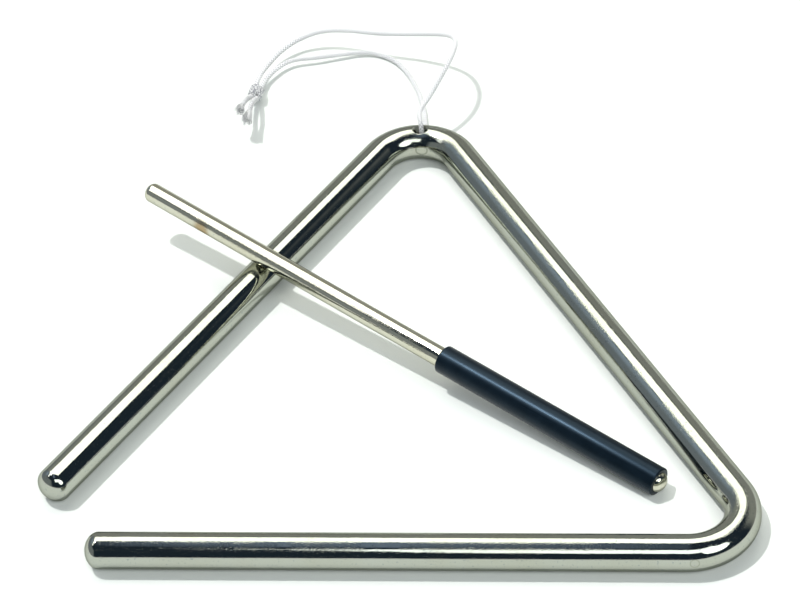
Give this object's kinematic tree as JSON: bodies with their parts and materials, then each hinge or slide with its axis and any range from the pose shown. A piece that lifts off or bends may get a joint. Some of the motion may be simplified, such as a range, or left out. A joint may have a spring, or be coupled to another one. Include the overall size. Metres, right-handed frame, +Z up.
{
  "type": "triangle instrument",
  "caption": "Round steel bar bent to an open triangle for striking, hung by a braided cord loop through its drilled crown, with a sleeved steel beater laid across it.",
  "frame": {"origin": "on the surface that the triangle lies on, under the middle of the bar and the beater", "axes": "+Z up out of the surface, +X along the bar's base towards its closed corner, +Y from the base towards the crown with the cord hole"},
  "size_m": [0.2042, 0.2373, 0.0193],
  "materials": {
    "plated_steel": "bright nickel plate with fine scuffs",
    "rubber_sleeve": "satin, dark blue black",
    "braided_cord": "white braided nylon"
  },
  "bodies": {
    "triangle": {"triangle_bar": "plated_steel", "cord_loop_upper": "braided_cord", "cord_loop_lower": "braided_cord", "cord_knot": "braided_cord", "cord_tail_upper": "braided_cord", "cord_tail_lower": "braided_cord"},
    "beater": {"beater_rod": "plated_steel", "beater_sleeve": "rubber_sleeve"}
  },
  "joints": [
    {"name": "beater_lift", "type": "slide", "parent": "triangle", "child": "beater", "axis": [0, 0, 1], "range_m": [0, 0.06]}
  ]
}
